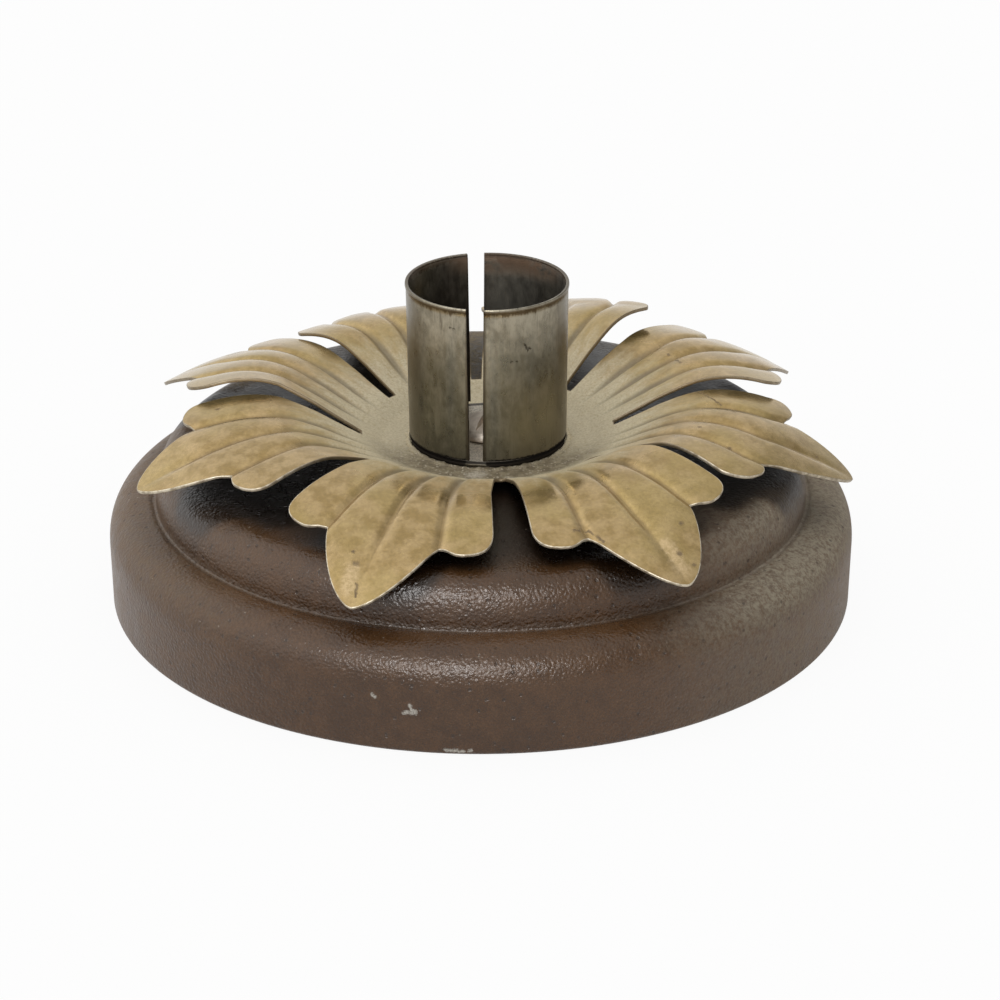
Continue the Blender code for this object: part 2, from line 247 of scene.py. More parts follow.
def lathe(profile, steps, centre_x=0.0):
    """Rings of a turned form from (radius, height) points, top first, closed by a point at each end."""
    turn = np.arange(steps) * 2.0 * math.pi / steps
    verts = [(centre_x, 0.0, profile[0][1])]
    for radius, height in profile[1:-1]:
        x = centre_x + radius * np.cos(turn)
        y = radius * np.sin(turn)
        verts.extend(np.stack([x, y, np.full(steps, height)], 1).tolist())
    verts.append((centre_x, 0.0, profile[-1][1]))
    rings = len(profile) - 2
    faces = []
    for i in range(steps):
        j = (i + 1) % steps
        faces.append((0, 1 + i, 1 + j))
        for k in range(rings - 1):
            a = 1 + k * steps
            faces.append((a + i, a + steps + i, a + steps + j, a + j))
        last = 1 + (rings - 1) * steps
        faces.append((last + i, len(verts) - 1, last + j))
    return np.array(verts), faces


def cut_by(obj, verts, faces):
    """Cuts a closed form, in millimetres, out of a piece and leaves the result in its mesh."""
    mesh = bpy.data.meshes.new("cutter")
    mesh.from_pydata((np.asarray(verts) * MM).tolist(), [], faces)
    cutter = bpy.data.objects.new("cutter", mesh)
    bpy.context.scene.collection.objects.link(cutter)
    modifier = obj.modifiers.new("Cut", "BOOLEAN")
    modifier.operation = "DIFFERENCE"
    modifier.solver = "EXACT"
    modifier.object = cutter
    bake_modifiers(obj)
    bpy.data.objects.remove(cutter, do_unlink=True)
    bpy.data.meshes.remove(mesh)


def bake_modifiers(obj):
    bpy.context.view_layer.update()
    graph = bpy.context.evaluated_depsgraph_get()
    baked = bpy.data.meshes.new_from_object(obj.evaluated_get(graph), depsgraph=graph)
    old = obj.data
    obj.modifiers.clear()
    obj.data = baked
    name = old.name
    bpy.data.meshes.remove(old)
    baked.name = name


class Nodes:
    """Builds one material's nodes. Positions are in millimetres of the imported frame."""

    def __init__(self, name):
        self.material = bpy.data.materials.new(name)
        self.material.use_nodes = True
        self.tree = self.material.node_tree
        self.shader = self.tree.nodes["Principled BSDF"]
        coord = self.tree.nodes.new("ShaderNodeTexCoord")
        self.point = self.vector("SCALE", coord.outputs["Object"], scale=1.0 / MM)
        axes = self.tree.nodes.new("ShaderNodeSeparateXYZ")
        self.put(axes.inputs[0], self.point)
        self.x, self.y, self.z = axes.outputs
        geometry = self.tree.nodes.new("ShaderNodeNewGeometry")
        normal = self.tree.nodes.new("ShaderNodeSeparateXYZ")
        self.put(normal.inputs[0], geometry.outputs["Normal"])
        self.up = normal.outputs[2]

    def put(self, socket, value):
        if isinstance(value, bpy.types.NodeSocket):
            self.tree.links.new(value, socket)
        elif socket.type == "RGBA" and len(value) == 3:
            socket.default_value = (*value, 1.0)
        else:
            socket.default_value = value

    def math(self, operation, a, b=0.0, clamp=False):
        node = self.tree.nodes.new("ShaderNodeMath")
        node.operation = operation
        node.use_clamp = clamp
        self.put(node.inputs[0], a)
        self.put(node.inputs[1], b)
        return node.outputs[0]

    def vector(self, operation, a, b=(0.0, 0.0, 0.0), scale=1.0):
        node = self.tree.nodes.new("ShaderNodeVectorMath")
        node.operation = operation
        self.put(node.inputs[0], a)
        if operation == "SCALE":
            self.put(node.inputs["Scale"], scale)
        else:
            self.put(node.inputs[1], b)
        is_number = operation in ("LENGTH", "DISTANCE", "DOT_PRODUCT")
        return node.outputs["Value"] if is_number else node.outputs[0]

    def combine(self, x, y, z):
        node = self.tree.nodes.new("ShaderNodeCombineXYZ")
        for socket, value in zip(node.inputs, (x, y, z)):
            self.put(socket, value)
        return node.outputs[0]

    def noise(self, scale, detail=3.0, roughness=0.5, at=None):
        node = self.tree.nodes.new("ShaderNodeTexNoise")
        self.put(node.inputs["Vector"], self.point if at is None else at)
        for name, value in (("Scale", scale), ("Detail", detail), ("Roughness", roughness)):
            self.put(node.inputs[name], value)
        return node.outputs[0]

    def cells(self, scale, at=None):
        """Distance to the nearest random point, and a random value for it."""
        node = self.tree.nodes.new("ShaderNodeTexVoronoi")
        self.put(node.inputs["Vector"], self.point if at is None else at)
        self.put(node.inputs["Scale"], scale)
        split = self.tree.nodes.new("ShaderNodeSeparateColor")
        self.put(split.inputs[0], node.outputs["Color"])
        return node.outputs["Distance"], split.outputs[0]

    def attribute(self, name):
        node = self.tree.nodes.new("ShaderNodeAttribute")
        node.attribute_name = name
        return node.outputs["Fac"]

    def ease(self, value, start, end, low=0.0, high=1.0):
        """low at start, high at end, eased between; start may be above end."""
        node = self.tree.nodes.new("ShaderNodeMapRange")
        node.interpolation_type = "SMOOTHSTEP"
        if start > end:
            start, end, low, high = end, start, high, low
        for socket, setting in zip(node.inputs, (value, start, end, low, high)):
            self.put(socket, setting)
        return node.outputs[0]

    def mix(self, share, a, b):
        node = self.tree.nodes.new("ShaderNodeMix")
        node.data_type = "RGBA"
        self.put(node.inputs[0], share)
        self.put(node.inputs[6], a)
        self.put(node.inputs[7], b)
        return node.outputs[2]

    def shade(self, colour, amount):
        """A colour times a number."""
        node = self.tree.nodes.new("ShaderNodeVectorMath")
        node.operation = "SCALE"
        self.put(node.inputs[0], colour)
        self.put(node.inputs["Scale"], amount)
        return node.outputs[0]

    def bump(self, height, depth_mm, under=None):
        node = self.tree.nodes.new("ShaderNodeBump")
        self.put(node.inputs["Strength"], 1.0)
        self.put(node.inputs["Distance"], depth_mm * MM)
        self.put(node.inputs["Height"], height)
        if under is not None:
            self.put(node.inputs["Normal"], under)
        return node.outputs[0]

    def total(self, *values):
        result = values[0]
        for value in values[1:]:
            result = self.math("ADD", result, value)
        return result

    def times(self, *values):
        result = values[0]
        for value in values[1:]:
            result = self.math("MULTIPLY", result, value)
        return result

    def radius(self, centre_x=0.0):
        flat = self.combine(self.math("SUBTRACT", self.x, centre_x), self.y, 0.0)
        return self.vector("LENGTH", flat)

    def frayed(self, amount, scale=1.5):
        """Positions shifted by noise, so that marks drawn with them get ragged outlines."""
        node = self.tree.nodes.new("ShaderNodeTexNoise")
        self.put(node.inputs["Vector"], self.point)
        for name, value in (("Scale", scale), ("Detail", 3.0), ("Roughness", 0.65)):
            self.put(node.inputs[name], value)
        shift = self.vector("SUBTRACT", node.outputs["Color"], (0.5, 0.5, 0.5))
        return self.vector("ADD", self.point, self.vector("SCALE", shift, scale=2.0 * amount))

    def spots(self, marks, fray):
        """1 inside any of the ragged spots, given as place and radius, 0 outside."""
        at = self.frayed(fray)
        result = 0.0
        for place, size in marks:
            away = self.vector("DISTANCE", at, place)
            result = self.math("MAXIMUM", result, self.ease(away, size, 0.3 * size))
        return result

    def scratches(self, lines, width, fray):
        """1 along any of the ragged lines, given as start and end, 0 away from them."""
        at = self.frayed(fray)
        result = 0.0
        for start, end in lines:
            run = Vector(end) - Vector(start)
            along = self.vector("DOT_PRODUCT", self.vector("SUBTRACT", at, start), run)
            share = self.math("DIVIDE", along, run.length_squared, clamp=True)
            nearest = self.vector("ADD", self.vector("SCALE", run, scale=share), start)
            away = self.vector("DISTANCE", at, nearest)
            result = self.math("MAXIMUM", result, self.ease(away, width, 0.3 * width))
        return result

    def finish(self, **sockets):
        for name, value in sockets.items():
            self.put(self.shader.inputs[name.replace("_", " ")], value)
        return self.material


def brown_paint():
    """Dark brown paint with a pebbled skin, dusty where the leaves don't shelter it, and a few chips;
    painted shade darkens it towards the middle and painted shadow under each leaf.
    """
    n = Nodes("brown_paint")
    broad = n.noise(0.05, 3.0)
    mid = n.noise(0.45, 4.0, 0.6)
    dome, _ = n.cells(2.0, n.frayed(0.12))
    pebble = n.math("SUBTRACT", n.noise(2.4, 2.0, 0.5), n.times(dome, 0.6))
    grain = n.noise(4.5, 3.0, 0.65)
    tone = n.ease(n.total(n.times(broad, 0.4), n.times(mid, 0.6)), 0.36, 0.64)
    colour = n.mix(tone, (0.060, 0.0258, 0.0080), (0.084, 0.0386, 0.0136))
    colour = n.shade(colour, n.ease(grain, 0.3, 0.7, 0.76, 1.24))

    radius = n.radius()
    # Painted shade: darker towards the middle, where the leaves hang over it, lighter out on the shoulder
    # and wall
    colour = n.shade(colour, n.ease(radius, 35.0, 47.0, 0.38, 1.28))
    turn = n.math("ARCTAN2", n.math("SUBTRACT", n.x, BORE_X), n.times(n.y, -1.0))
    half_leaf = math.pi / LEAF_COUNT
    from_slot = n.math("SUBTRACT", turn, math.radians(LEAF_TURN_DEG) - half_leaf)
    off_leaf = n.math("PINGPONG", from_slot, half_leaf)
    point = n.math("POWER", n.times(off_leaf, 1.0 / math.radians(NOTCH_ANGLE_DEG)), TIP_POINT_POWER)
    reach = n.total(LEAF_TIP_RADIUS, n.times(point, NOTCH_RADIUS - LEAF_TIP_RADIUS))
    reach = n.math("MAXIMUM", reach, NOTCH_RADIUS + 1.0)
    # Painted shadow under the leaves, following their outline; the same mask keeps dust away there
    leaf_shadow_and_shelter = n.times(n.ease(n.math("SUBTRACT", n.radius(BORE_X), reach), 1.5, -4.0),
                        n.ease(off_leaf, 0.98 * half_leaf, 0.65 * half_leaf), n.ease(radius, 46.9, 45.2))
    colour = n.shade(colour, n.ease(leaf_shadow_and_shelter, 0.0, 1.0, 1.0, 0.28))
    level = n.ease(n.up, -0.2, 0.8, 0.34, 1.0)
    sides = n.math("MAXIMUM", n.ease(n.x, 18.0, 44.0, 0.10, 2.0), n.ease(n.x, -22.0, -50.0, 0.10, 0.80))
    behind = n.times(n.ease(n.y, 0.0, 24.0), n.ease(radius, 45.0, 41.0, 0.0, 2.4))
    beside = n.times(sides, n.ease(radius, 40.0, 47.0, 0.62, 1.0))
    settled = n.times(level, n.math("MAXIMUM", beside, behind))
    mottle = n.total(n.times(n.noise(1.3, 4.0, 0.62), 0.55), n.times(n.noise(3.0, 4.0, 0.7), 0.45))
    film = n.ease(mottle, 0.38, 0.62, 0.22, 0.84)
    dust = n.times(settled, film, n.ease(leaf_shadow_and_shelter, 0.0, 1.0, 1.0, 0.2))
    dust_colour = n.mix(n.ease(n.x, -15.0, 15.0), (0.245, 0.188, 0.110), (0.290, 0.250, 0.180))
    colour = n.mix(n.times(dust, n.ease(n.x, 0.0, 30.0, 0.52, 0.68)), colour, dust_colour)
    pit_d, pit_r = n.cells(0.9, n.frayed(0.2))
    pits = n.times(n.ease(pit_d, 0.30, 0.16), n.ease(pit_r, 0.78, 0.82))
    colour = n.mix(n.times(pits, 0.55), colour, (0.022, 0.012, 0.007))
    fleck_d, fleck_r = n.cells(0.8)
    flecks = n.times(n.ease(fleck_d, 0.15, 0.06), n.ease(fleck_r, 0.86, 0.88),
                     n.ease(n.up, -0.2, 0.5, 0.3, 1.0))
    colour = n.mix(n.times(flecks, 0.7), colour, (0.38, 0.32, 0.25))
    groove = n.times(n.ease(n.math("ABSOLUTE", n.math("SUBTRACT", radius, GROOVE_RADIUS)), 0.55, 0.25),
                     n.ease(n.math("ABSOLUTE", n.math("SUBTRACT", n.z, GROOVE_HEIGHT)), 0.9, 0.4))
    lint = n.times(groove, n.ease(n.noise(1.9, 3.0, 0.7), 0.38, 0.66, 0.25, 1.0))
    colour = n.mix(n.times(lint, 0.5), colour, (0.25, 0.205, 0.165))
    chips = n.times(n.scratches(BASE_CHIPS, 0.42, 0.5), n.ease(grain, 0.35, 0.55, 0.45, 1.0))
    colour = n.mix(chips, colour, (0.62, 0.58, 0.51))

    rough = n.total(n.ease(mid, 0.3, 0.7, 0.20, 0.29), n.times(dust, 0.35), n.times(sides, 0.10),
                    n.times(n.ease(radius, 44.0, 38.0, 0.0, 0.22), n.ease(n.y, 12.0, -12.0),
                            n.ease(leaf_shadow_and_shelter, 0.0, 1.0, 1.0, 0.1)), n.times(chips, 0.30))
    worn = n.ease(radius, 36.0, 43.0, 0.3, 1.0)
    relief = n.total(n.times(pebble, worn), n.times(grain, 0.15), n.times(chips, -0.6), n.times(pits, -0.5))
    normal = n.bump(relief, 0.11, n.bump(broad, 0.4))
    return n.finish(Base_Color=colour, Roughness=rough, Normal=normal, Specular_IOR_Level=0.45)


def gold_paint():
    """Aged gold lacquer on sheet metal, mottled and spotted, with dust from the dish up the leaves; painted
    shade in the creases, at the crease roots, on the undersides and on the dish before the cup, and a
    painted highlight near the front tips.
    """
    n = Nodes("gold_paint")
    broad = n.noise(0.09, 3.0, 0.55)
    mid = n.noise(0.42, 5.0, 0.60)
    fine = n.noise(2.0, 4.0, 0.62)
    crease = n.attribute("crease")
    colour = n.mix(n.ease(mid, 0.36, 0.64), (0.372, 0.256, 0.104), (0.505, 0.362, 0.176))
    colour = n.mix(n.ease(broad, 0.42, 0.62, 0.0, 0.5), colour, (0.450, 0.337, 0.132))
    colour = n.shade(colour, n.ease(fine, 0.3, 0.7, 0.91, 1.09))
    # Pale rubbed strokes near the front leaf tips, partly a painted highlight
    wear_and_highlight = n.times(n.scratches(LEAF_WEAR_AND_HIGHLIGHT, 1.5, 1.2), n.ease(fine, 0.35, 0.6, 0.25, 0.70))
    colour = n.mix(wear_and_highlight, colour, (0.640, 0.480, 0.275))
    # Dirt and painted shade along the creases
    colour = n.mix(n.ease(crease, 0.60, 1.0, 0.0, 0.35), colour, (0.20, 0.130, 0.060))
    speck_d, speck_r = n.cells(0.7)
    specks = n.times(n.ease(speck_d, 0.22, 0.08), n.ease(speck_r, 0.90, 0.93), n.ease(fine, 0.40, 0.58))
    marks = n.math("MAXIMUM", n.spots(LEAF_SPOTS, 0.45), n.scratches(LEAF_CRACKS, 0.30, 0.45))
    marks = n.math("MAXIMUM", n.times(specks, 0.4), n.times(marks, n.ease(fine, 0.3, 0.6, 0.45, 0.9)))
    colour = n.mix(marks, colour, (0.165, 0.106, 0.048))
    # Painted shade: the undersides of the leaves made dark
    colour = n.mix(n.ease(n.up, 0.0, -0.3), colour, (0.055, 0.041, 0.025))

    radius = n.radius(BORE_X)
    turn = n.math("ARCTAN2", n.y, n.math("SUBTRACT", n.x, BORE_X))
    streak = n.noise(1.0, 4.0, 0.65, n.combine(n.times(turn, 20.0), n.times(radius, 0.25), 0.0))
    grit = n.noise(3.0, 3.0, 0.75)
    spread = n.total(radius, n.times(n.math("SUBTRACT", streak, 0.5), 16.0))
    dust = n.times(n.ease(spread, 30.0, 18.0), n.ease(grit, 0.30, 0.50, 0.7, 1.0), n.ease(n.up, 0.0, 0.3))
    powder = n.mix(n.ease(grit, 0.35, 0.68), (0.620, 0.540, 0.355), (0.770, 0.690, 0.500))
    colour = n.mix(n.times(dust, 0.88), colour, powder)
    film = n.noise(0.7, 5.0, 0.7)
    crumb_d, crumb_r = n.cells(2.0, n.frayed(0.35))
    crumbs = n.times(n.ease(crumb_d, 0.48, 0.22), n.ease(crumb_r, 0.35, 0.75))
    # Painted shade of the cup on the dish in front of it, with dark litter; light crumbs over it
    near_cup = n.times(n.ease(radius, 20.0, 14.0), n.ease(n.y, 0.0, -10.0, 0.15, 1.0),
                       n.ease(n.up, 0.0, 0.3))
    colour = n.mix(n.times(near_cup, n.ease(film, 0.36, 0.62, 0.66, 0.95)), colour, (0.150, 0.115, 0.066))
    colour = n.mix(n.times(near_cup, crumbs, 0.85), colour, (0.600, 0.520, 0.385))
    lint = n.times(n.spots(DISH_LINT, 1.2), n.ease(grit, 0.35, 0.6, 0.2, 0.8))
    colour = n.mix(lint, colour, (0.60, 0.54, 0.44))

    # Painted shade in the crease roots at the foot of the leaves; the same mask dulls the metal there
    hollow = n.times(n.ease(crease, 0.15, 0.75), n.ease(radius, 34.0, 25.0), n.ease(n.up, 0.0, 0.3))
    colour = n.mix(n.times(hollow, 0.68), colour, (0.185, 0.146, 0.086))
    dulled = n.math("MAXIMUM", n.times(hollow, 0.8), n.ease(radius, 33.0, 25.0, 0.0, 0.75))
    cover = n.math("MAXIMUM", n.math("MAXIMUM", dust, marks), dulled)
    metal = n.ease(cover, 0.0, 1.0, 0.74, 0.05)
    rough = n.total(n.ease(mid, 0.3, 0.7, 0.14, 0.22), n.times(cover, 0.5))
    relief = n.total(n.times(mid, 0.5), n.times(fine, 0.18), n.times(dust, grit, 0.6),
                     n.times(near_cup, crumbs, 2.0))
    return n.finish(Base_Color=colour, Metallic=metal, Roughness=rough, Normal=n.bump(relief, 0.07))


def bare_edge():
    """Cut edge of the leaves: bright in front as rubbed wear with a painted highlight, dull at the back and
    next to the dish.
    """
    n = Nodes("bare_edge")
    wear = n.noise(0.8, 3.0, 0.6)
    # Painted highlight with wear: the cut edge is made bright only on the front side
    wear_and_highlight = n.times(n.ease(n.radius(BORE_X), 28.0, 40.0), n.ease(n.y, 0.0, -22.0, 0.2, 1.0),
                     n.ease(wear, 0.35, 0.60, 0.25, 1.0))
    colour = n.mix(wear_and_highlight, (0.22, 0.160, 0.085), (0.70, 0.62, 0.48))
    rough = n.ease(n.noise(4.0, 2.0), 0.3, 0.7, 0.34, 0.48)
    metal = n.ease(wear_and_highlight, 0.0, 0.6, 0.30, 0.55)
    return n.finish(Base_Color=colour, Metallic=metal, Roughness=rough)


def antique_steel():
    """Browned, blotchy, drip-marked steel, brown below the lip, with painted shade low on the wall, on the
    flanks and inside, a black painted shadow with grime at the foot, rusty inside, and floor crumbs made
    light as painted light.
    """
    n = Nodes("antique_steel")
    turn = n.math("ARCTAN2", n.y, n.math("SUBTRACT", n.x, BORE_X))
    around = n.times(turn, CUP_RADIUS)
    drip = n.noise(1.0, 5.0, 0.65, n.combine(n.times(around, 1.5), n.times(n.z, 0.14), 0.0))
    blotch = n.noise(0.8, 5.0, 0.7, n.combine(around, n.times(n.z, 0.5), 7.0))
    cloud = n.noise(0.25, 4.0, 0.6)
    fine = n.noise(3.0, 3.0, 0.6)
    below = n.math("SUBTRACT", CUP_RIM, n.z)
    radius = n.radius(BORE_X)
    inside = n.ease(radius, CUP_RADIUS - 0.16, CUP_RADIUS - 0.30)
    tone = n.ease(n.total(n.times(drip, 0.25), n.times(blotch, 0.45), n.times(cloud, 0.3)), 0.40, 0.60)
    colour = n.mix(tone, (0.195, 0.172, 0.124), (0.370, 0.335, 0.258))
    # Painted shade: the wall darker and greyer from a few millimetres under the rim downward, with blotches
    lower_wall_shade = n.ease(n.total(below, n.times(n.math("SUBTRACT", drip, 0.5), 12.0)), 2.0, 10.0)
    colour = n.mix(n.times(lower_wall_shade, n.ease(blotch, 0.38, 0.62, 0.74, 0.60)), colour, (0.132, 0.132, 0.106))
    low_right = n.times(n.ease(n.x, 2.0, 7.0), n.ease(n.total(below, n.times(cloud, 6.0)), 13.0, 21.0))
    colour = n.mix(n.times(low_right, 0.75), colour, (0.300, 0.270, 0.190))
    streaks = n.times(n.ease(drip, 0.54, 0.70), n.ease(below, 9.0, 2.0, 0.25, 0.6))
    colour = n.mix(streaks, colour, (0.095, 0.076, 0.050))
    # Painted shade on the left and right flanks of the cup
    flank_shade = n.ease(n.math("ABSOLUTE", n.math("SUBTRACT", n.x, BORE_X)), 8.0, 11.0)
    colour = n.mix(n.times(flank_shade, 0.65), colour, (0.090, 0.071, 0.042))
    band_end = n.total(below, n.times(n.math("SUBTRACT", drip, 0.5), 2.5))
    band = n.times(n.ease(band_end, 1.15, 0.75), n.ease(below, 0.16, 0.34))
    colour = n.mix(n.times(band, 0.75), colour, (0.095, 0.066, 0.038))
    from_slit = n.math("ABSOLUTE", n.math("SUBTRACT", n.x, BORE_X + SLIT_OFFSET_X))
    cut = n.ease(from_slit, 0.5 * SLIT_WIDTH + 0.65, 0.5 * SLIT_WIDTH + 0.25)
    colour = n.mix(n.times(cut, 0.75), colour, (0.045, 0.034, 0.022))
    # Painted shade inside the cup, darker on the left and greyer on the right
    inside_shade = n.mix(n.ease(n.x, -3.0, 4.0), (0.046, 0.036, 0.029), (0.095, 0.090, 0.080))
    colour = n.mix(n.times(inside, 0.78), colour, inside_shade)
    rust_side = n.ease(n.vector("DISTANCE", n.point, (4.5, 11.0, CUP_RIM)), 11.0, 4.5)
    rust = n.times(inside, rust_side, n.ease(below, 3.8, 1.0), n.ease(cloud, 0.28, 0.48))
    colour = n.mix(n.times(rust, 0.9), colour, (0.190, 0.108, 0.055))
    back_rim = n.times(n.ease(n.y, -2.0, 5.0), n.ease(below, 0.7, 0.3))
    colour = n.mix(n.times(back_rim, n.ease(fine, 0.62, 0.50, 0.2, 0.85)), colour, (0.088, 0.058, 0.034))
    nicks = n.times(n.scratches(CUP_NICKS, 0.26, 0.5), n.ease(fine, 0.34, 0.55, 0.35, 1.0))
    colour = n.mix(n.times(nicks, 0.9), colour, (0.030, 0.023, 0.016))
    # Painted shadow with grime: a near-black ragged band along the jaws' lower edge, left out at the slit
    foot = n.times(n.ease(radius, CUP_RADIUS - 1.2, CUP_RADIUS - 0.8), n.ease(cut, 0.0, 1.0, 1.0, 0.0))
    ragged_z = n.total(n.z, n.times(n.math("SUBTRACT", n.noise(0.9, 4.0, 0.7), 0.5), 0.8))
    foot_shadow_and_grime = n.times(foot, n.ease(ragged_z, CUP_BOTTOM + JAW_LIFT + 0.35, CUP_BOTTOM + JAW_LIFT + 0.10))
    colour = n.mix(n.times(foot_shadow_and_grime, 0.97), colour, (0.010, 0.007, 0.005))
    # Dust crumbs on the cup floor, their light colour partly painted light standing in for light through
    # the slit
    floor_dust_and_light = n.times(n.ease(radius, CUP_RADIUS - 0.8, CUP_RADIUS - 1.2),
                         n.ease(n.z, CUP_BOTTOM + 1.2, CUP_BOTTOM + 0.8))
    crumbs = n.times(floor_dust_and_light, n.ease(fine, 0.35, 0.60, 0.5, 0.95))
    colour = n.mix(crumbs, colour, (0.72, 0.64, 0.51))

    metal = n.ease(n.math("MAXIMUM", n.math("MAXIMUM", rust, crumbs), back_rim), 0.0, 1.0, 0.92, 0.10)
    dull = n.math("MAXIMUM", n.math("MAXIMUM", rust, foot_shadow_and_grime), nicks)
    rough = n.total(n.ease(blotch, 0.3, 0.7, 0.26, 0.38), n.times(inside, 0.16), n.times(dull, 0.35))
    relief = n.total(n.times(drip, 0.4), n.times(blotch, 0.5), n.times(fine, 0.2))
    return n.finish(Base_Color=colour, Metallic=metal, Roughness=rough, Normal=n.bump(relief, 0.03))


def dull_steel():
    """Dull screw with a brownish bloom and dust in its slot, its colours made light as painted light."""
    n = Nodes("dull_steel")
    mid = n.noise(0.9, 4.0, 0.6)
    fine = n.noise(4.0, 3.0, 0.6)
    # Light colours, partly painted light standing in for light through the slit
    colour = n.mix(n.ease(mid, 0.35, 0.65), (0.620, 0.530, 0.445), (0.820, 0.740, 0.640))
    dust = n.times(n.ease(n.up, 0.2, 0.8), n.ease(fine, 0.38, 0.60))
    colour = n.mix(n.times(dust, 0.7), colour, (0.74, 0.65, 0.53))
    rough = n.total(n.ease(fine, 0.3, 0.7, 0.40, 0.55), n.times(dust, 0.3))
    metal = n.ease(dust, 0.0, 1.0, 0.75, 0.2)
    return n.finish(Base_Color=colour, Metallic=metal, Roughness=rough, Normal=n.bump(fine, 0.04))


def quarter_round(start, end, fullness, count):
    """Points of a full quarter round that leaves start level and arrives at end plumb."""
    angle = 0.5 * math.pi * np.arange(count + 1) / count
    across = np.sin(angle) ** (2.0 / fullness)
    down = np.clip(np.cos(angle), 0.0, 1.0) ** (2.0 / fullness)
    radius = start[0] + (end[0] - start[0]) * across
    height = end[1] + (start[1] - end[1]) * down
    return list(zip(radius.tolist(), height.tolist()))


def base_profile():
    groove_inner = GROOVE_RADIUS - 0.5 * GROOVE_WIDTH
    groove_outer = GROOVE_RADIUS + 0.5 * GROOVE_WIDTH
    points = [(0.0, BASE_HEIGHT)]
    points += [(radius, BASE_HEIGHT) for radius in np.linspace(4.0, PLATEAU_RADIUS - 0.8, 20)]
    points += quarter_round((PLATEAU_RADIUS, BASE_HEIGHT), (groove_inner, GROOVE_HEIGHT),
                            SHOULDER_FULLNESS, INNER_SHOULDER_STEPS)
    open_depth = GROOVE_DEPTH - GROOVE_DUST
    points.append((groove_inner + 0.06, GROOVE_HEIGHT - 0.6 * open_depth))
    points.append((GROOVE_RADIUS, GROOVE_HEIGHT - open_depth))
    points.append((groove_outer - 0.10, GROOVE_HEIGHT - 0.45 * open_depth))
    points.append((groove_outer - 0.03, GROOVE_HEIGHT - 0.12 * open_depth))
    points += quarter_round((groove_outer, GROOVE_HEIGHT), (BELLY_RADIUS, BELLY_HEIGHT),
                            SHOULDER_FULLNESS, OUTER_SHOULDER_STEPS)
    for share in np.linspace(0.1, 1.0, 10):
        radius = BELLY_RADIUS + (FOOT_RADIUS - BELLY_RADIUS) * share
        points.append((radius, BELLY_HEIGHT + (FOOT_EDGE_ROUND - BELLY_HEIGHT) * share))
    for angle in np.linspace(0.2, 1.0, 5) * 0.5 * math.pi:
        radius = FOOT_RADIUS - FOOT_EDGE_ROUND * (1.0 - math.cos(angle))
        points.append((radius, FOOT_EDGE_ROUND * (1.0 - math.sin(angle))))
    points += [(radius, 0.0) for radius in np.linspace(FOOT_RADIUS - FOOT_EDGE_ROUND - 6.0, 5.0, 8)]
    points.append((0.0, 0.0))
    return points


def shank_profile(radius_gain, length_gain):
    radius = SCREW_SHANK_RADIUS + radius_gain
    length = SCREW_LENGTH + length_gain
    tip = (0.0, SCREW_SEAT - length)
    return [(radius, SCREW_SEAT), (radius, SCREW_SEAT + SCREW_POINT_LENGTH - length), tip]


def make_base():
    verts, faces = lathe(base_profile(), BASE_STEPS)
    turn = np.arctan2(verts[:, 1], verts[:, 0])
    wear = 0.5 + 0.25 * np.sin(3.0 * turn + 0.6) + 0.25 * np.sin(7.0 * turn + 0.13 * verts[:, 2] + 1.9)
    rim = ramp(np.hypot(verts[:, 0], verts[:, 1]), 40.0, 46.0)
    verts[:, :2] *= (1.0 - BASE_WEAR_SHARE * (wear * rim))[:, None]
    base = add_piece("base_turned", verts, faces, [brown_paint()], "base")
    pilot = [(0.0, SCREW_SEAT)] + shank_profile(SEAT_GAP, PILOT_EXTRA_DEPTH)
    cut_by(base, *lathe(pilot, BORE_STEPS, BORE_X))
    base.data.set_sharp_from_angle(angle=math.radians(50.0))
    return base


def slot_edge(radius):
    half_slot = 0.5 * SLOT_WIDTH + SLOT_FLARE * (radius - SLOT_ROOT_RADIUS)
    return math.pi / LEAF_COUNT - half_slot / radius


def leaf_reach(station):
    """Radius of the cut edge with its corners still sharp: a pointed lobe between two broad ones."""
    side = np.abs(station)
    point = LEAF_TIP_RADIUS - (LEAF_TIP_RADIUS - NOTCH_RADIUS) * np.minimum(side, 1.0) ** TIP_POINT_POWER
    share = np.clip(side - 1.0, 0.0, 1.0)
    lobe = NOTCH_RADIUS + LOBE_BULGE * np.sin(0.5 * math.pi * np.minimum(1.0, share / LOBE_BULGE_SHARE))
    return np.where(side <= 1.0, point, lobe)


def leaf_grid():
    """Stations across and radii along a leaf, drawn in at the rounded corners of its side lobes."""
    steps = np.arange(HALF_STATIONS + 1) / HALF_STATIONS
    middle = 0.4 * steps + 0.3 * (1.0 - np.cos(math.pi * steps))
    half = np.concatenate([middle, 1.0 + steps[1:] ** 1.4])
    stations = np.concatenate([-half[:0:-1], half])
    reach = leaf_reach(stations)
    radius = SLOT_ROOT_RADIUS + np.linspace(0.0, 1.0, LEAF_ROWS + 1)[:, None] * (reach - SLOT_ROOT_RADIUS)
    side = np.broadcast_to(np.abs(stations), radius.shape)
    across = np.clip(side - 1.0, 0.0, 1.0)
    out = np.clip((radius - LOBE_CORNER_RADIUS) / (reach - LOBE_CORNER_RADIUS), 0.0, 1.0)
    span = (across ** LOBE_FULLNESS + out ** LOBE_FULLNESS) ** (1.0 / LOBE_FULLNESS)
    drawn = np.maximum(across, out) / np.maximum(span, 1.0e-9)
    at_corner = (across > 0.0) & (out > 0.0)
    station = np.sign(stations) * np.where(at_corner, 1.0 + across * drawn, side)
    corner_radius = LOBE_CORNER_RADIUS + out * drawn * (reach - LOBE_CORNER_RADIUS)
    return station, np.where(at_corner, corner_radius, radius)


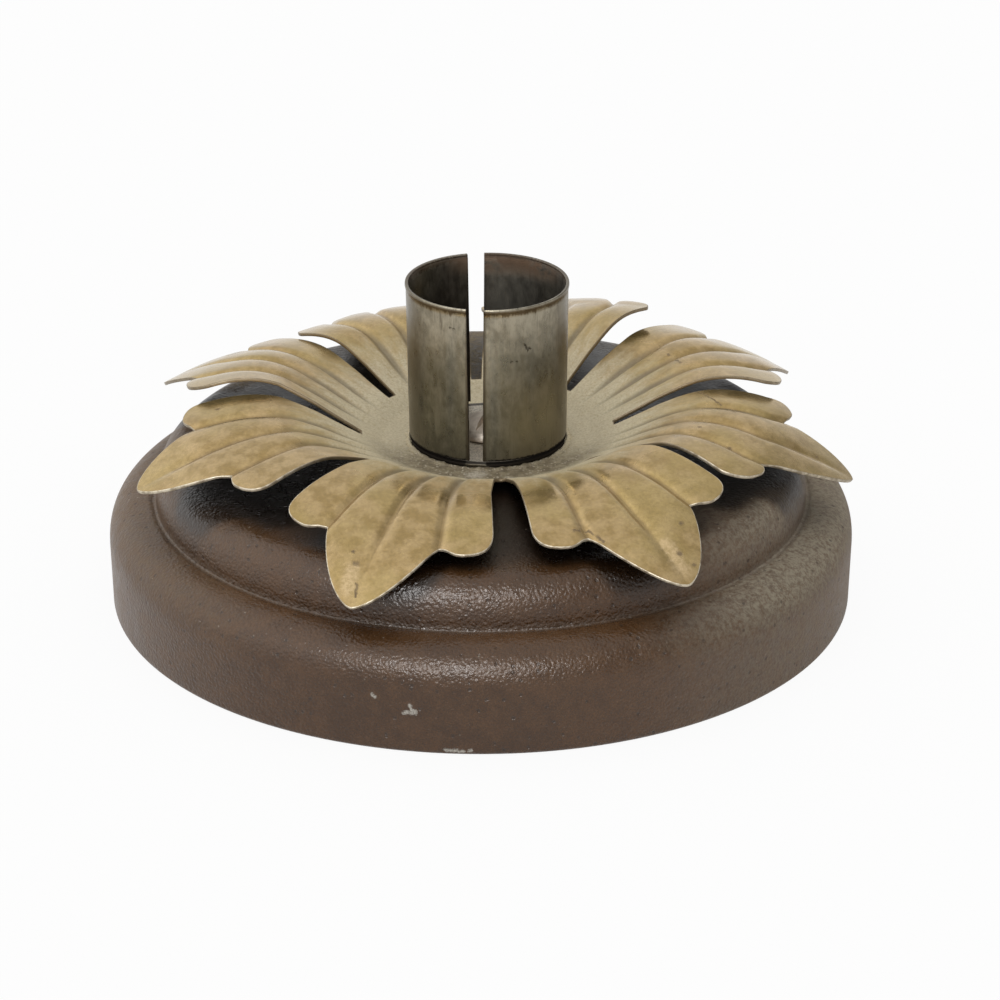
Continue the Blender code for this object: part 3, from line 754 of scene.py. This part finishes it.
def leaf_angle(station, radius):
    spread = ramp(radius, SLOT_ROOT_RADIUS, NOTCH_RADIUS)
    crease = np.radians(CREASE_ROOT_ANGLE_DEG + (NOTCH_ANGLE_DEG - CREASE_ROOT_ANGLE_DEG) * spread)
    side = np.abs(station)
    lobe = crease + (side - 1.0) * (slot_edge(radius) - crease)
    return np.where(side <= 1.0, crease * side, lobe) * np.sign(station)


def wall_height(radius):
    """Height over the dish's floor of the straight wall that the leaves rise along, with a soft foot."""
    out = radius - DISH_RADIUS
    return 0.5 * LEAF_RISE_SLOPE * (out + np.sqrt(out * out + DISH_BEND ** 2))


def leaf_surface(station, radius, leaf, middle):
    """Points of a leaf's upper face and how close each lies to a crease."""
    angle = leaf_angle(station, radius)
    droop = ramp(radius, LEAF_CREST_RADIUS, LEAF_TIP_RADIUS) ** TIP_DROOP_POWER
    crest = LEAF_RISE * leaf.crest
    climb = wall_height(radius) / crest
    knee = crest * climb / (1.0 + climb ** LEAF_KNEE_POWER) ** (1.0 / LEAF_KNEE_POWER)
    arch = knee + (LEAF_RISE * leaf.tip - crest) * droop
    fade_in = ramp(radius, DISH_RADIUS, DISH_RADIUS + FLUTE_RUN_IN)
    fade_out = ramp(radius, LEAF_TIP_RADIUS, LEAF_TIP_RADIUS - FLUTE_RUN_OUT)
    ridge = np.abs(np.sin(math.pi * np.minimum(np.abs(station), 1.5)))
    along = ramp(radius, SLOT_ROOT_RADIUS, LEAF_CREST_RADIUS)
    twist = LEAF_RISE * leaf.twist * along * angle * LEAF_COUNT / math.pi
    swing = math.radians(leaf.swing) * along
    sway = math.radians(leaf.sway) * ramp(radius, SWAY_START_RADIUS, LEAF_TIP_RADIUS)
    turn = middle + angle + swing + sway
    drawn_in = SLOT_ROOT_RADIUS + leaf.reach * (radius - SLOT_ROOT_RADIUS)
    x = BORE_X + drawn_in * np.sin(turn)
    y = -drawn_in * np.cos(turn)
    side = np.abs(station)
    off_crease = np.minimum(side, np.abs(side - 1.0)) * math.radians(NOTCH_ANGLE_DEG) * radius
    fold = np.sqrt(off_crease ** 2 + CREASE_ROUND ** 2) - CREASE_ROUND
    wall = 1.0 - fold / CREASE_WIDTH
    groove = 0.5 * (wall + np.sqrt(wall ** 2 + CREASE_SOFT ** 2))
    crease = groove * fade_in * fade_out
    z = DISH_TOP + arch + twist + FLUTE_HEIGHT * fade_in * fade_out * (1.0 - CREASE_SHARE) * ridge
    z = z + FLUTE_HEIGHT * CREASE_SHARE * fade_in * fade_out * (1.0 - groove)
    z = z + SHEET_WAVE * along * np.sin(0.33 * x + 0.21 * y) * np.cos(0.27 * y - 0.18 * x)
    return np.stack([x, y, z], -1), crease


def make_leaf_pan(materials):
    station, radius = leaf_grid()
    width = station.shape[1]
    verts, creases, faces, root = [], [], [], []
    for index, leaf in enumerate(LEAF_SETS):
        middle = math.radians(LEAF_TURN_DEG) + (index - 0.5) * 2.0 * math.pi / LEAF_COUNT
        points, crease = leaf_surface(station, radius, leaf, middle)
        first = len(verts)
        verts.extend(points.reshape(-1, 3).tolist())
        creases.extend(crease.reshape(-1).tolist())
        for row in range(LEAF_ROWS):
            for i in range(width - 1):
                a = first + row * width + i
                faces.append((a, a + width, a + width + 1, a + 1))
        root.extend(range(first, first + width))
    ring = root
    rim = np.array([verts[i] for i in root]) - (BORE_X, 0.0, DISH_TOP)
    rim_crease = np.array([creases[i] for i in root])
    radii = np.concatenate([np.linspace(SLOT_ROOT_RADIUS, DISH_RADIUS, DISH_WALL_RINGS + 1)[1:],
                            np.linspace(DISH_RADIUS, HOLE_RADIUS, DISH_FLOOR_RINGS + 1)[1:]])
    for radius in radii:
        scale = radius / SLOT_ROOT_RADIUS
        lift = wall_height(radius) / wall_height(SLOT_ROOT_RADIUS)
        first = len(verts)
        verts.extend((rim * (scale, scale, lift) + (BORE_X, 0.0, DISH_TOP)).tolist())
        creases.extend((rim_crease * lift).tolist())
        for i in range(len(ring)):
            j = (i + 1) % len(ring)
            faces.append((first + i, ring[i], ring[j], first + j))
        ring = list(range(first, first + len(ring)))
    verts, faces, source, first_edge = sheet_of(np.array(verts), faces, PAN_SHEET, PAN_EDGE_ROUND)
    last_edge = len(faces)
    bank, bank_faces = dust_bank()
    faces += [tuple(len(verts) + i for i in face) for face in bank_faces]
    verts = np.concatenate([verts, bank])
    pan = add_piece("leaf_pan_stamped", verts, faces, materials, "leaf_pan")
    add_attribute(pan, "crease", np.concatenate([np.array(creases)[source], np.zeros(len(bank))]))
    slots = np.zeros(len(faces), np.int32)
    slots[first_edge:last_edge] = 1
    pan.data.polygons.foreach_set("material_index", slots)
    return pan


def dust_bank():
    """Dust and crumbs swept against the cup's foot: a low ragged ring on the dish."""
    turn = np.arange(BANK_STEPS) * 2.0 * math.pi / BANK_STEPS
    periods = ((5, 0.4), (11, 1.7), (23, 2.9), (41, 0.8), (67, 2.2))
    waves = [np.sin(count * turn + shift) for count, shift in periods]
    ragged = 0.5 + 0.12 * sum(waves[:3]) + 0.10 * (waves[3] + waves[4])
    foot = CUP_RADIUS + 0.05
    rows = [(foot, -0.1), (foot, 0.15 + 0.4 * ragged), (foot + 0.3 * ragged, 0.08 + 0.25 * ragged),
            (foot + 0.5 + ragged, -0.1)]
    verts = []
    for radius, height in rows:
        radius = np.broadcast_to(radius, turn.shape)
        height = np.broadcast_to(DISH_TOP + height, turn.shape)
        verts.append(np.stack([BORE_X + radius * np.sin(turn), -radius * np.cos(turn), height], 1))
    faces = []
    for k in range(4):
        for i in range(BANK_STEPS):
            j = (i + 1) % BANK_STEPS
            near, far = k * BANK_STEPS, (k + 1) % 4 * BANK_STEPS
            faces.append((near + i, far + i, far + j, near + j))
    return np.concatenate(verts), faces


def sheet_of(front, faces, sheet, edge_round):
    """Closed sheet behind a front of quads: vertices, faces, vertex origins and the first cut-edge face."""
    quads = np.array(faces)
    corners = front[quads]
    facing = np.cross(corners[:, 2] - corners[:, 0], corners[:, 3] - corners[:, 1])
    normal = np.zeros_like(front)
    for k in range(4):
        np.add.at(normal, quads[:, k], facing)
    normal /= np.linalg.norm(normal, axis=1, keepdims=True)
    edges = {(face[k - 1], face[k]) for face in faces for k in range(4)}
    after = {a: b for a, b in edges if (b, a) not in edges}
    rim = np.array(sorted(after))
    before = {b: a for a, b in after.items()}
    run = front[[after[i] for i in rim]] - front[[before[i] for i in rim]]
    outward = np.cross(run, normal[rim])
    outward /= np.linalg.norm(outward, axis=1, keepdims=True)
    inset = 1.3 * edge_round
    body = front.copy()
    body[rim] -= inset * outward
    chamfer = 0.29 * edge_round
    profile = [(edge_round, 0.0), (chamfer, chamfer), (0.0, edge_round)]
    profile += [(inward, sheet - down) for inward, down in reversed(profile)]
    rings = [front[rim] - inward * outward - down * normal[rim] for inward, down in profile]
    verts = np.concatenate([body, body - sheet * normal] + rings)
    count = len(front)
    source = np.concatenate([np.arange(count), np.arange(count)] + [rim] * len(rings))
    solid = [tuple(face) for face in faces] + [tuple(count + i for i in reversed(face)) for face in faces]
    place = {int(vert): i for i, vert in enumerate(rim)}
    edge_levels = [2 * count + k * len(rim) + np.arange(len(rim)) for k in range(len(rings))]
    levels = [rim] + edge_levels + [count + rim]
    first_edge = len(solid)
    for upper, lower in zip(levels, levels[1:]):
        for i, vert in enumerate(rim):
            j = place[after[int(vert)]]
            solid.append((int(upper[j]), int(upper[i]), int(lower[i]), int(lower[j])))
    return verts, solid, source, first_edge


def thicken(obj, sheet, edge_round):
    """Gives a surface its sheet thickness behind it, with rounded cut edges."""
    shell = obj.modifiers.new("Sheet", "SOLIDIFY")
    shell.thickness = sheet * MM
    shell.offset = -1.0
    edge = obj.modifiers.new("Edge", "BEVEL")
    edge.width = edge_round * MM
    edge.segments = 2
    edge.limit_method = "ANGLE"
    edge.angle_limit = math.radians(60.0)
    edge.use_clamp_overlap = True
    bake_modifiers(obj)
    obj.data.shade_smooth()


def jaw_angles(slit_edge):
    neck = math.asin(0.5 * CUP_NECK_WIDTH / CUP_RADIUS)
    end = math.acos(slit_edge / CUP_RADIUS)
    side = [neck + (end - neck) * i / JAW_SIDE_SEGMENTS for i in range(1, JAW_SIDE_SEGMENTS + 1)]
    middle = [neck * (2.0 * i / NECK_SEGMENTS - 1.0) for i in range(NECK_SEGMENTS + 1)]
    return [-angle for angle in reversed(side)] + middle + side


def jaw_rows():
    """Wall rows as (height, swell) from the jaw's free lower edge to the rounded lip."""
    wall_top = CUP_HEIGHT - LIP_HEIGHT
    rows = [(height, 0.0) for height in np.linspace(JAW_LIFT, wall_top, JAW_ROWS)]
    for share in (0.2, 0.4, 0.6, 0.8, 1.0):
        rows.append((wall_top + share * LIP_HEIGHT, LIP_SWELL * math.sin(math.pi * (0.1 + 0.75 * share))))
    return rows


def make_candle_cup(materials):
    right_edge = SLIT_OFFSET_X + 0.5 * SLIT_WIDTH
    left_edge = 0.5 * SLIT_WIDTH - SLIT_OFFSET_X
    jaws = ((0.0, right_edge, RIGHT_JAW_SPLAY), (math.pi, left_edge, -LEFT_JAW_SPLAY))
    necks = range(JAW_SIDE_SEGMENTS, JAW_SIDE_SEGMENTS + NECK_SEGMENTS)
    floor_radius = CUP_RADIUS - CUP_BEND_RADIUS
    verts, faces = [], []

    def vert(radius, turn, height, splay):
        lean = splay * float(ramp(height, JAW_LIFT, CUP_HEIGHT))
        x = BORE_X + radius * math.cos(turn) + lean
        verts.append((x, radius * math.sin(turn), CUP_BOTTOM + height))
        return len(verts) - 1

    def strip(near, far, columns):
        for i in columns:
            faces.append((near[i], near[i + 1], far[i + 1], far[i]))

    floor_ring, edge_ring, open_columns = [], [], []
    for middle, slit_edge, splay in jaws:
        turns = [middle + angle for angle in jaw_angles(slit_edge)]
        floor = [vert(floor_radius, turn, 0.0, splay) for turn in turns]
        edge = [vert(CUP_RADIUS, turn, 0.0, splay) for turn in turns]
        open_columns += [len(floor_ring) + i for i in range(len(turns)) if i not in necks]
        floor_ring += floor
        edge_ring += edge
        bend = floor
        for step in range(1, BEND_SEGMENTS + 1):
            lean = 0.5 * math.pi * step / BEND_SEGMENTS
            radius = floor_radius + CUP_BEND_RADIUS * math.sin(lean)
            height = CUP_BEND_RADIUS * (1.0 - math.cos(lean))
            row = {i: vert(radius, turns[i], height, splay) for i in (*necks, necks[-1] + 1)}
            strip(bend, row, necks)
            bend = row
        wall = [[vert(CUP_RADIUS + swell, turn, height, splay) for turn in turns]
                for height, swell in jaw_rows()]
        strip(bend, wall[0], necks)
        for near, far in zip(wall, wall[1:]):
            strip(near, far, range(len(turns) - 1))
    count = len(floor_ring)
    for i in open_columns:
        j = (i + 1) % count
        faces.append((floor_ring[i], floor_ring[j], edge_ring[j], edge_ring[i]))
    hole = []
    for i in floor_ring:
        x, y, z = verts[i]
        scale = HOLE_RADIUS / floor_radius
        verts.append((BORE_X + (x - BORE_X) * scale, y * scale, z))
        hole.append(len(verts) - 1)
    for i in range(count):
        j = (i + 1) % count
        faces.append((hole[i], hole[j], floor_ring[j], floor_ring[i]))
    used = sorted({i for face in faces for i in face})
    renumber = {old: new for new, old in enumerate(used)}
    verts = [verts[i] for i in used]
    faces = [tuple(renumber[i] for i in face) for face in faces]
    cup = add_piece("candle_cup_bent", verts, faces, materials, "candle_cup")
    outward = bmesh.new()
    outward.from_mesh(cup.data)
    bmesh.ops.recalc_face_normals(outward, faces=outward.faces)
    if sum(face.normal.z for face in outward.faces if abs(face.normal.z) > 0.99) > 0.0:
        bmesh.ops.reverse_faces(outward, faces=outward.faces)
    outward.to_mesh(cup.data)
    outward.free()
    thicken(cup, CUP_SHEET, CUP_EDGE_ROUND)
    return cup


def box(size, centre, turn_deg):
    turn = math.radians(turn_deg)
    corners = []
    for i in (-0.5, 0.5):
        for j in (-0.5, 0.5):
            for k in (-0.5, 0.5):
                x, y = i * size[0], j * size[1]
                turned_x = x * math.cos(turn) - y * math.sin(turn)
                turned_y = x * math.sin(turn) + y * math.cos(turn)
                corners.append((centre[0] + turned_x, centre[1] + turned_y, centre[2] + k * size[2]))
    faces = [(0, 1, 3, 2), (4, 6, 7, 5), (0, 4, 5, 1), (2, 3, 7, 6), (0, 2, 6, 4), (1, 5, 7, 3)]
    return np.array(corners), faces


def make_cup_screw():
    angle = 0.5 * math.pi * np.linspace(0.0, 1.0, SCREW_DOME_STEPS)
    dome = [(SCREW_HEAD_RADIUS * math.sin(a), SCREW_SEAT + SCREW_HEAD_HEIGHT * math.cos(a)) for a in angle]
    verts, faces = lathe(dome + shank_profile(0.0, 0.0), SCREW_STEPS, BORE_X)
    screw = add_piece("cup_screw_head", verts, faces, [dull_steel()], "cup_screw")
    slot = (4.0 * SCREW_HEAD_RADIUS, SCREW_SLOT_WIDTH, 2.0 * SCREW_SLOT_DEPTH)
    cut_by(screw, *box(slot, (BORE_X, 0.0, SCREW_SEAT + SCREW_HEAD_HEIGHT), SCREW_SLOT_TURN_DEG))
    edge = screw.modifiers.new("Edge", "BEVEL")
    edge.width = SCREW_EDGE_ROUND * MM
    edge.segments = 2
    edge.limit_method = "ANGLE"
    edge.angle_limit = math.radians(40.0)
    bake_modifiers(screw)
    screw.data.shade_smooth()
    return screw


def seen_directly(tree):
    """1 for camera, glossy and transmission rays, which see the white surroundings as they are."""
    path = tree.nodes.new("ShaderNodeLightPath")
    total = path.outputs["Is Camera Ray"]
    for name in ("Is Glossy Ray", "Is Transmission Ray"):
        add = tree.nodes.new("ShaderNodeMath")
        add.use_clamp = True
        tree.links.new(total, add.inputs[0])
        tree.links.new(path.outputs[name], add.inputs[1])
        total = add.outputs[0]
    return total


def make_floor():
    bm = bmesh.new()
    bmesh.ops.create_circle(bm, cap_ends=True, radius=FLOOR_RADIUS, segments=64)
    mesh = bpy.data.meshes.new("floor")
    bm.to_mesh(mesh)
    bm.free()
    floor = bpy.data.objects.new("floor", mesh)
    bpy.context.scene.collection.objects.link(floor)
    material = bpy.data.materials.new("floor")
    material.use_nodes = True
    tree = material.node_tree
    tree.nodes.clear()
    glow_share = tree.nodes.new("ShaderNodeMath")
    glow_share.operation = "MULTIPLY"
    glow_share.inputs[1].default_value = FLOOR_GLOW
    tree.links.new(seen_directly(tree), glow_share.inputs[0])
    diffuse = tree.nodes.new("ShaderNodeBsdfDiffuse")
    diffuse.inputs["Color"].default_value = FLOOR_COLOUR
    glow = tree.nodes.new("ShaderNodeEmission")
    glow.inputs["Strength"].default_value = 1.0
    mix = tree.nodes.new("ShaderNodeMixShader")
    tree.links.new(glow_share.outputs[0], mix.inputs[0])
    tree.links.new(diffuse.outputs[0], mix.inputs[1])
    tree.links.new(glow.outputs[0], mix.inputs[2])
    out = tree.nodes.new("ShaderNodeOutputMaterial")
    tree.links.new(mix.outputs[0], out.inputs["Surface"])
    mesh.materials.append(material)


def make_world():
    """White studio surroundings: light mostly from above, reflections brighter on the left than right."""
    world = bpy.data.worlds.new("studio")
    bpy.context.scene.world = world
    world.use_nodes = True
    tree = world.node_tree
    tree.nodes.clear()
    coord = tree.nodes.new("ShaderNodeTexCoord")
    axes = tree.nodes.new("ShaderNodeSeparateXYZ")
    tree.links.new(coord.outputs["Generated"], axes.inputs[0])

    def graded(axis, start, end, low, high):
        node = tree.nodes.new("ShaderNodeMapRange")
        node.interpolation_type = "SMOOTHSTEP"
        for socket, value in zip(node.inputs[1:5], (start, end, low, high)):
            socket.default_value = value
        tree.links.new(axes.outputs[axis], node.inputs[0])
        return node.outputs[0]

    strength = tree.nodes.new("ShaderNodeMath")
    strength.operation = "MULTIPLY"
    tree.links.new(graded(2, 0.0, 1.0, SKY_LOW, SKY_HIGH), strength.inputs[0])
    tree.links.new(graded(0, -0.9, 0.9, SKY_LEFT, SKY_RIGHT), strength.inputs[1])
    gloss = graded(1, -0.2, 0.45, GLOSS_FRONT, GLOSS_BACK)
    for side in (graded(0, -0.75, -0.15, GLOSS_LEFT, 1.0), graded(0, 0.15, 0.75, 1.0, GLOSS_RIGHT)):
        share = tree.nodes.new("ShaderNodeMath")
        share.operation = "MULTIPLY"
        tree.links.new(gloss, share.inputs[0])
        tree.links.new(side, share.inputs[1])
        gloss = share.outputs[0]
    path = tree.nodes.new("ShaderNodeLightPath")
    backgrounds = []
    for source in (strength.outputs[0], gloss, None):
        node = tree.nodes.new("ShaderNodeBackground")
        node.inputs["Color"].default_value = (1.0, 1.0, 1.0, 1.0)
        if source:
            tree.links.new(source, node.inputs["Strength"])
        backgrounds.append(node.outputs[0])
    mirrored = tree.nodes.new("ShaderNodeMixShader")
    tree.links.new(seen_directly(tree), mirrored.inputs[0])
    tree.links.new(backgrounds[0], mirrored.inputs[1])
    tree.links.new(backgrounds[1], mirrored.inputs[2])
    mix = tree.nodes.new("ShaderNodeMixShader")
    tree.links.new(path.outputs["Is Camera Ray"], mix.inputs[0])
    tree.links.new(mirrored.outputs[0], mix.inputs[1])
    tree.links.new(backgrounds[2], mix.inputs[2])
    out = tree.nodes.new("ShaderNodeOutputWorld")
    tree.links.new(mix.outputs[0], out.inputs["Surface"])


def make_lamps():
    """Lamps that only give highlights; the sky lights the object."""
    for lamp in LAMPS:
        light = bpy.data.lights.new(lamp.name, "AREA")
        light.shape = "RECTANGLE"
        light.size, light.size_y = lamp.size
        light.energy = lamp.power
        obj = bpy.data.objects.new(lamp.name, light)
        obj.location = lamp.place
        aim = Vector(LAMP_TARGET) - Vector(lamp.place)
        obj.rotation_euler = aim.to_track_quat("-Z", "Y").to_euler()
        obj.visible_diffuse = False
        bpy.context.scene.collection.objects.link(obj)


def make_camera():
    elevation = math.radians(CAMERA_ELEVATION_DEG)
    level = CAMERA_DISTANCE * math.cos(elevation)
    rise = CAMERA_DISTANCE * math.sin(elevation)
    x, y, z = CAMERA_TARGET
    data = bpy.data.cameras.new("camera")
    data.sensor_width = 36.0
    data.lens = CAMERA_LENS_MM
    data.clip_start = 0.01
    data.clip_end = 20.0
    camera = bpy.data.objects.new("camera", data)
    camera.location = (x, y - level, z + rise)
    camera.rotation_euler = (0.5 * math.pi - elevation, 0.0, 0.0)
    bpy.context.scene.collection.objects.link(camera)
    bpy.context.scene.camera = camera


make_camera()
make_base()
make_leaf_pan([gold_paint(), bare_edge()])
make_candle_cup([antique_steel()])
make_cup_screw()
make_floor()
make_world()
make_lamps()
bpy.context.scene.view_settings.view_transform = "Standard"
